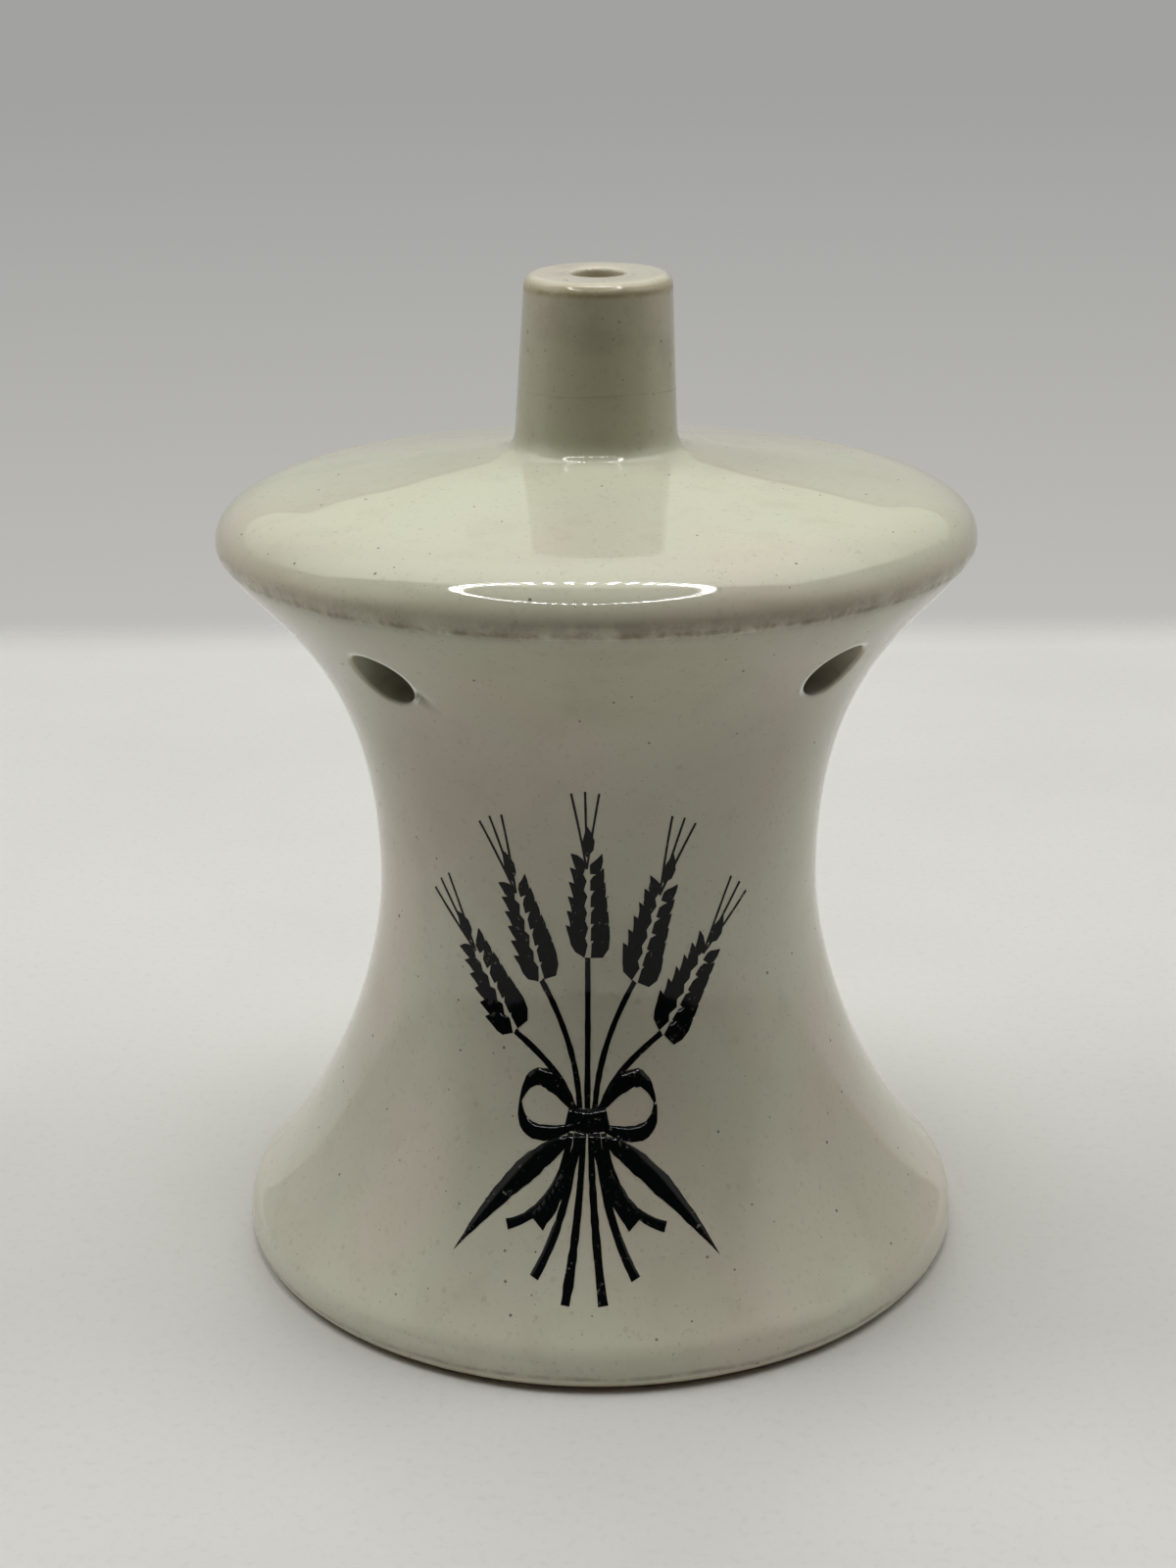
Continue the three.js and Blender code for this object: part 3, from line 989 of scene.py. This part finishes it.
def stalks(skin):
    for x in STALK_ENDS:
        start = (x * STALK_TOP[0], STALK_TOP[1])
        bend = (x * STALK_BEND[0], STALK_BEND[1])
        path = curve(start, bend, (x, STALK_ROUNDING * x * x - STALK_LENGTH))
        stroke(skin, path, np.linspace(*STALK_WIDTHS, len(path)))


def leaf_and_bow(skin, side):
    """The leaf, the bow's loop and its tail on one side of the tie."""
    def path_of(points):
        return curve(*[(side * x, y) for x, y in points])

    path = path_of(LEAF)
    stroke(skin, path, leaf_widths(len(path), LEAF_WIDTH, LEAF_FULLNESS))
    for points, width, fullness in BOW_LOOP:
        path = path_of(points)
        stroke(skin, path, leaf_widths(len(path), width, fullness) + BOW_THINNEST)
    path = path_of(BOW_TAIL)
    stroke(skin, path, np.linspace(*TAIL_WIDTHS, len(path)))


def sheaf_skin():
    """The whole print: ears fanned above the tie, stalks below it, two leaves and a bow."""
    skin = Skin()
    ears_and_stems(skin)
    stalks(skin)
    leaf_and_bow(skin, -1)
    leaf_and_bow(skin, 1)
    path = curve(*KNOT)
    stroke(skin, path, even_widths(len(path), KNOT_WIDTH))
    return skin


# The surround, by the height of a direction: 0 is level and 1 straight up
WALL_LIGHT = colour(189, 188, 184)
WALL_DARK = colour(162, 162, 160)
WALL_LIGHT_BELOW = -0.26
WALL_DARK_ABOVE = -0.05
CEILING_EDGE = (0.3035, 0.3065)
CEILING_NEAR_EDGE = colour(208, 216, 194)
CEILING_MIDDLE = colour(250, 253, 240)
CEILING_GLOW = (0.3, 0.8)
# A thin dark gap where the wall meets the ceiling, as the heights where it starts, is full and ends
CEILING_GAP = (0.2985, 0.3005, 0.303, 0.305)
# The lit lid overhead, on a level plane one unit up: its front edge and sides as place and slant, how soft
# those edges are, and the stretch towards the back over which it gets brighter
LOWEST_RISE = 0.05
LID_FRONT = (0.04, -0.18)
LID_LEFT = (-1.15, -0.75)
LID_RIGHT = (0.85, 0.5)
LID_SOFT = 0.03
LID_SIDE_SOFT = 0.08
LID_BRIGHTER = (1.1, 0.2)
LID_STRENGTH = 2.7
# Two soft glows at the sides, as directions, and the cosines over which they fade in
SIDE_GLOWS = [Vector((-0.92, -0.11, 0.39)), Vector((0.85, -0.14, 0.5))]
GLOW_REACH = (0.88, 0.998)
GLOW_TONE = colour(250, 250, 238)
OPEN_FRONT = colour(30, 30, 29)
OPEN_FRONT_EDGE = (0.05, 0.4)
OPEN_FRONT_TOP = (0.9, 0.8)
FILL_TONE = (1, 0.99, 0.97, 1)
FILL_STRENGTH = 0.01
# Lamps as name, place in metres, power in watts and width in metres
LAMP_TARGET = Vector((0, 0, 0.03))
LAMPS = [
    ("overhead", (0, 0, 0.6), 1.04, 0.3),
    ("overhead_front", (0, -0.15, 0.6), 0.3, 0.2),
    ("high_left", (-0.3, 0, 0.55), 0.62, 0.2),
    ("high_right", (0.3, 0, 0.55), 0.42, 0.2),
    ("left", (-0.42, 0.1, 0.36), 0.55, 0.34),
    ("right", (0.42, 0.1, 0.36), 0.57, 0.34),
    ("behind", (0, 0.6, 0.3), 1.3, 0.4),
]

# The board under the object, in metres from its middle, and the two tones it drifts between
FLOOR_HALF = 0.26
FLOOR_EDGE = 0.186
FLOOR_FADE = 0.012
FLOOR_LIGHT = colour(219, 218, 214)
FLOOR_DARK = colour(214, 213, 209)
FLOOR_CLOUD_SIZE = 0.05
FLOOR_CLOUDS = (0.3, 0.7)
FLOOR_ROUGHNESS = 0.6
GRIT_SIZE = 0.0009
GRIT = (0.5, 0.75)
GRIT_STRENGTH = 0.12
LINT = colour(150, 142, 130)
LINT_SPECKS = (0.022, 0.0004, 0.6)
LINT_STRENGTH = 0.6

# A ring of small lamps above the camera, mirrored in the rim as a ring of dots
RING_LAMPS = 56
RING_CENTRE = Vector((-0.013, -0.082, 0.25))
RING_RADIUS = 0.094
RING_WIDTH = 0.012
RING_FILL = 0.34
RING_STRENGTH = 60


def board_material():
    """Pale card with fine grit and a little lint, which turns clear at the board's edge."""
    n = Nodes(bpy.data.materials.new("pale_floor"))
    place = n.place()
    split = n.node("ShaderNodeSeparateXYZ", Vector=place)
    sideways = n.maths("ABSOLUTE", split.outputs["X"])
    reach = n.maths("MAXIMUM", sideways, n.maths("ABSOLUTE", split.outputs["Y"]))
    clouds = n.between(n.noise(place, FLOOR_CLOUD_SIZE, detail=3), *FLOOR_CLOUDS)
    tone = n.mix(clouds, FLOOR_LIGHT, FLOOR_DARK)
    grit = n.between(n.noise(place, GRIT_SIZE, detail=3, roughness=0.7), *GRIT)
    tone = n.stained(tone, grit, GRIT_STRENGTH, LINT)
    tone = n.stained(tone, n.specks(place, *LINT_SPECKS), LINT_STRENGTH, LINT)
    card = n.node("ShaderNodeBsdfPrincipled", Base_Color=tone, Roughness=FLOOR_ROUGHNESS)
    clear = n.node("ShaderNodeBsdfTransparent")
    past_edge = n.between(reach, FLOOR_EDGE - FLOOR_FADE, FLOOR_EDGE + FLOOR_FADE)
    return n.finish(n.blend(past_edge, card, clear))


def stage_piece(name, points, faces, material):
    """A mesh of the stage, with its points in metres."""
    mesh = bpy.data.meshes.new(name)
    mesh.from_pydata(points, [], faces)
    mesh.materials.append(material)
    made = bpy.data.objects.new(name, mesh)
    bpy.context.scene.collection.objects.link(made)
    return made


def make_stage():
    """A pale board whose edge fades out, a soft grey surround, and soft lamps overhead and at the sides."""
    corners = [(x * FLOOR_HALF, y * FLOOR_HALF, 0) for x, y in ((-1, -1), (1, -1), (1, 1), (-1, 1))]
    floor = stage_piece("floor", corners, [(0, 1, 2, 3)], board_material())
    make_world()
    for name, place, power, size in LAMPS:
        lamp(name, Vector(place), power, size)
    light_ring()


def light_ring():
    """A flat ring of small lamps above the camera, seen in gloss alone."""
    points = []
    faces = []
    for i in range(RING_LAMPS):
        for reach, share in ((-1, -1), (-1, 1), (1, 1), (1, -1)):
            turn = 2 * math.pi * (i + share * RING_FILL / 2) / RING_LAMPS
            radius = RING_RADIUS + reach * RING_WIDTH / 2
            points.append(RING_CENTRE + radius * Vector((math.cos(turn), math.sin(turn), 0)))
        faces.append(tuple(range(4 * i, 4 * i + 4)))
    n = Nodes(bpy.data.materials.new("ring_lamps"))
    glow = n.finish(n.node("ShaderNodeEmission", Strength=RING_STRENGTH))
    ring = stage_piece("light_ring", points, faces, glow)
    ring.visible_camera = False
    ring.visible_diffuse = False


def lit_lid(n, rise, across, behind):
    """How far a direction meets the lit lid, from 0 to 1."""
    def past(value, other, edge, soft):
        """How far a place on the lid's plane is past a slanted edge."""
        place, slant = edge
        beyond = n.maths("SUBTRACT", value, n.maths("MULTIPLY_ADD", other, slant, place))
        return n.between(beyond, -soft, soft)

    lid = n.times(past(behind, across, LID_FRONT, LID_SOFT), n.between(rise, *CEILING_EDGE))
    lid = n.times(lid, past(across, behind, LID_LEFT, LID_SIDE_SOFT))
    return n.times(lid, n.maths("SUBTRACT", 1, past(across, behind, LID_RIGHT, LID_SIDE_SOFT)))


def mirrored_room(n, way, split, wall):
    """The room that gloss sees, as its tones and strength: wall, lit lid, dark front and two side glows."""
    rise = split.outputs["Z"]
    up = n.maths("MAXIMUM", rise, LOWEST_RISE)
    across = n.maths("DIVIDE", split.outputs["X"], up)
    behind = n.maths("DIVIDE", split.outputs["Y"], up)
    lid = lit_lid(n, rise, across, behind)
    ceiling = n.mix(n.between(rise, *CEILING_GLOW), CEILING_NEAR_EDGE, CEILING_MIDDLE)
    low, full_low, full_high, high = CEILING_GAP
    gap = n.times(n.between(rise, low, full_low), n.between(rise, high, full_high))
    room = n.mix(gap, n.mix(lid, wall, ceiling), OPEN_FRONT)
    front = n.maths("MULTIPLY", split.outputs["Y"], -1)
    opening = n.times(n.between(front, *OPEN_FRONT_EDGE), n.between(rise, *OPEN_FRONT_TOP))
    room = n.mix(opening, room, OPEN_FRONT)
    for centre in SIDE_GLOWS:
        nearness = n.vector("DOT_PRODUCT", way, centre.normalized())["Value"]
        room = n.mix(n.between(nearness, *GLOW_REACH), room, GLOW_TONE)
    brighter = n.times(lid, n.between(behind, *LID_BRIGHTER, smooth=False))
    return room, n.maths("MULTIPLY_ADD", brighter, LID_STRENGTH - 1, 1)


def make_world():
    """A plain surround: a grey wall for the camera, a lit room for gloss and a weak fill for the rest."""
    world = bpy.data.worlds.new("surround")
    bpy.context.scene.world = world
    n = Nodes(world)
    way = n.node("ShaderNodeTexCoord").outputs["Generated"]
    split = n.node("ShaderNodeSeparateXYZ", Vector=way)
    darker = n.between(split.outputs["Z"], WALL_LIGHT_BELOW, WALL_DARK_ABOVE, smooth=False)
    wall = n.mix(darker, WALL_LIGHT, WALL_DARK)
    room, strength = mirrored_room(n, way, split, wall)
    seen = n.node("ShaderNodeBackground", Color=wall)
    mirrored = n.node("ShaderNodeBackground", Color=room, Strength=strength)
    unseen = n.node("ShaderNodeBackground", Color=FILL_TONE, Strength=FILL_STRENGTH)
    path = n.node("ShaderNodeLightPath")
    direct = n.maths("MAXIMUM", path.outputs["Is Camera Ray"], path.outputs["Is Transmission Ray"])
    indirect = n.blend(path.outputs["Is Glossy Ray"], unseen, mirrored)
    n.finish(n.blend(direct, indirect, seen), "ShaderNodeOutputWorld")


def lamp(name, place, power, size):
    """A round soft lamp that looks at the object. The glaze mirrors the surround instead of the lamp."""
    data = bpy.data.lights.new(name, "AREA")
    data.energy = power
    data.shape = "DISK"
    data.size = size
    made = bpy.data.objects.new(name, data)
    bpy.context.scene.collection.objects.link(made)
    made.location = place
    made.rotation_euler = (LAMP_TARGET - place).to_track_quat("-Z", "Y").to_euler()
    made.visible_glossy = False


def dress(skin, name, node, material):
    """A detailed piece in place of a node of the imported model."""
    made = skin.piece(name, material)
    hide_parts(node)


make_camera()
# The body's glaze has painted shade under the rim, in the rim's crease and inside the vents, and a painted
# highlight on the vents' lips
dress(body_skin(), "glazed_body", "waisted_body",
      glaze("body_glaze", greener=0.2, lines=[WORN_RIM, RIM_CREASE_WEAR_AND_SHADE, FOOT_WEAR],
            bands=[UNDER_RIM_PAINTED_SHADE], peel=0.06, bare_foot=True, vents=True))
# The cover's glaze has painted shade in the rim's crease and on the stub
dress(cover_skin(), "glazed_cover", "domed_cover",
      glaze("cover_glaze", greener=0.35, lines=[WORN_RIM, RIM_CREASE_WEAR_AND_SHADE, CHIMNEY_JOINT],
            bands=[CHIMNEY_OLIVE_AND_SHADE, ROLL_GLAZE]))
# The chimney's glaze is darker olive, partly painted shade
dress(chimney_skin(), "glazed_chimney", "chimney",
      glaze("chimney_glaze", greener=0.35, lines=[CHIMNEY_JOINT, TOP_EDGE],
            bands=[CHIMNEY_OLIVE_AND_SHADE, TOP_STAIN], smudged=0.2))
print_piece = sheaf_skin().piece("wheat_print", printed_ink(), sharp=PRINT_SHARP_FROM)
make_stage()
bpy.context.scene.view_settings.view_transform = "Standard"
